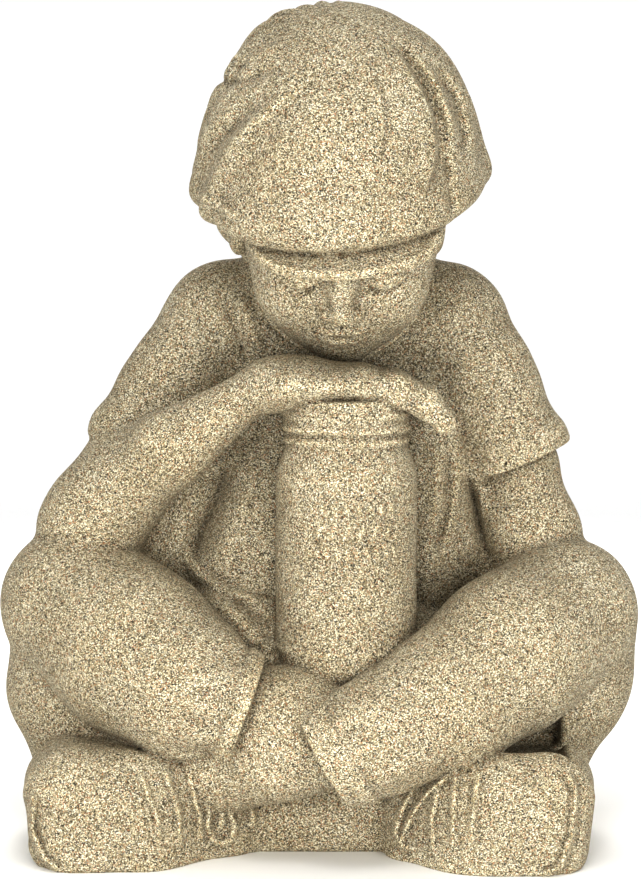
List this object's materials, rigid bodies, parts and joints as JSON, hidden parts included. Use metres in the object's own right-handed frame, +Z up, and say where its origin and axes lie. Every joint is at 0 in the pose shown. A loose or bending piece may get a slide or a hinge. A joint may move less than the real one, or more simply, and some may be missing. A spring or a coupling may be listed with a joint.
{
  "type": "boy statue",
  "caption": "Garden statue of a seated cross-legged boy in a floppy cap, chin resting on the hand he lays over a lidded jar.",
  "frame": {"origin": "on the ground, below the middle of the statue's outer box", "axes": "+Z up, +X to the right as seen from the front, the statue faces -Y"},
  "size_m": [0.4974, 0.3624, 0.6383],
  "materials": {
    "cast_stone": "matte sandstone-look casting with fine white, grey, black and orange grains"
  },
  "bodies": {
    "root": {"boy_statue": "cast_stone"}
  },
  "joints": []
}
